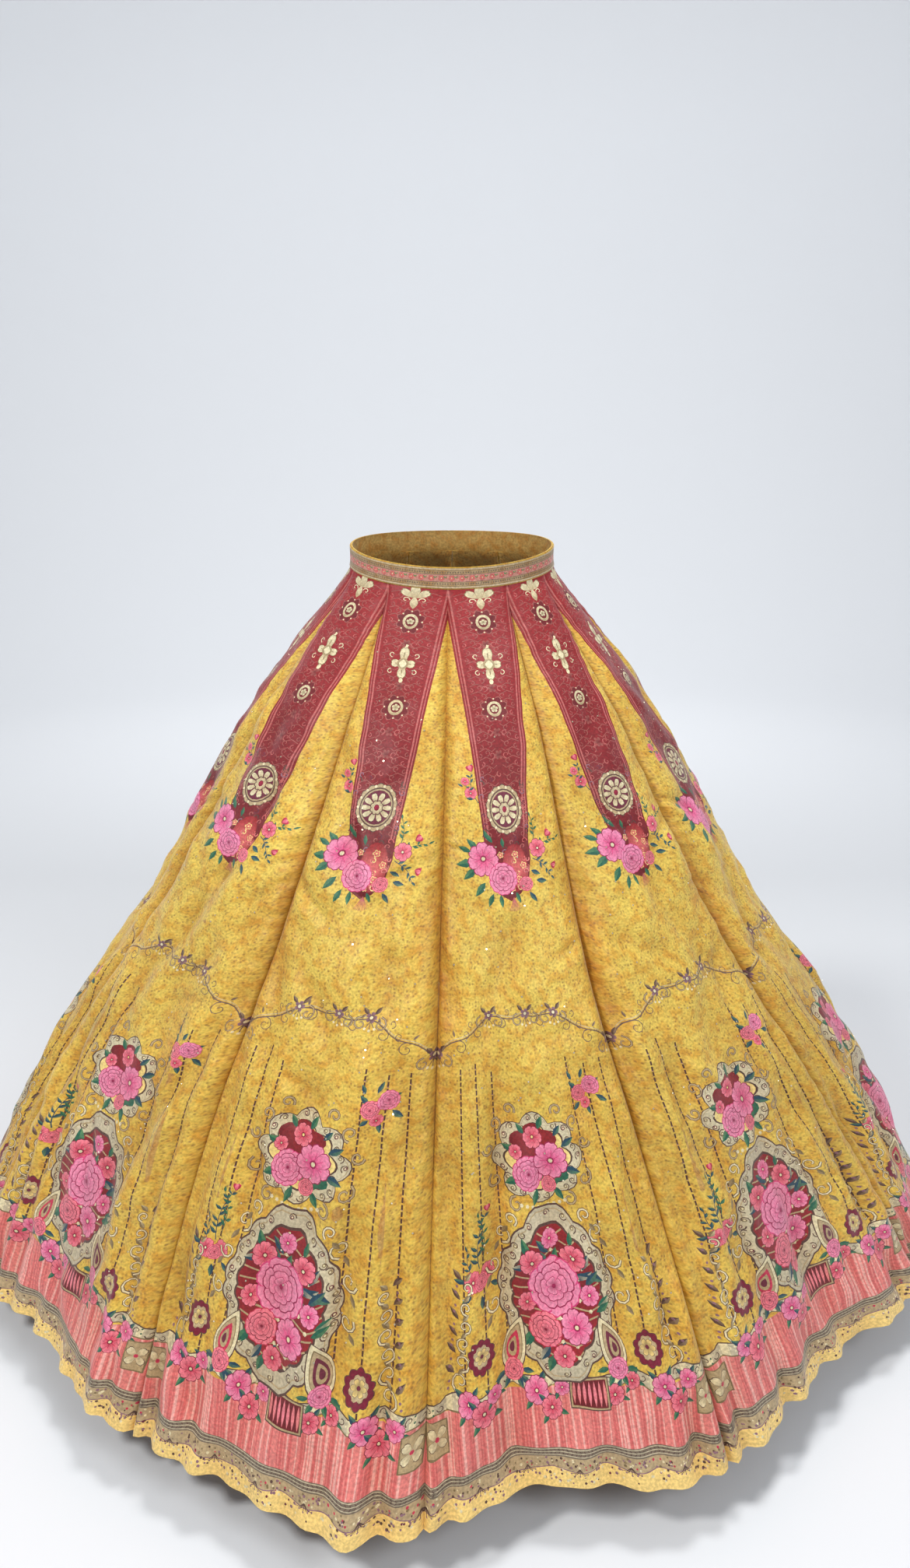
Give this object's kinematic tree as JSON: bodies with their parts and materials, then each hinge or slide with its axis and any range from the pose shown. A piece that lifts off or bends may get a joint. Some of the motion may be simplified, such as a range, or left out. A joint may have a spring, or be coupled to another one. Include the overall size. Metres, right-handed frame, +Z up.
{
  "type": "lehenga skirt",
  "caption": "Floor-length flared kalidar lehenga skirt in its hollow worn form: printed gores hang from a lace-faced waistband and spread to a wide waved hem.",
  "frame": {"origin": "centre of the waist opening, level with the top of the waistband at its two sides", "axes": "+Z up, the wearer's front faces -Y, +X is the wearer's left"},
  "size_m": [1.3788, 1.3415, 0.9552],
  "materials": {
    "printed_silk": "satin",
    "band_silk": "satin",
    "woven_lace": "satin"
  },
  "bodies": {
    "root": {"kali_01": "printed_silk", "kali_02": "printed_silk", "kali_03": "printed_silk", "kali_04": "printed_silk", "kali_05": "printed_silk", "kali_06": "printed_silk", "kali_07": "printed_silk", "kali_08": "printed_silk", "kali_09": "printed_silk", "kali_10": "printed_silk", "kali_11": "printed_silk", "kali_12": "printed_silk", "waistband_front": "band_silk", "waistband_back": "band_silk", "waist_lace_front": "woven_lace", "waist_lace_back": "woven_lace"}
  },
  "joints": []
}
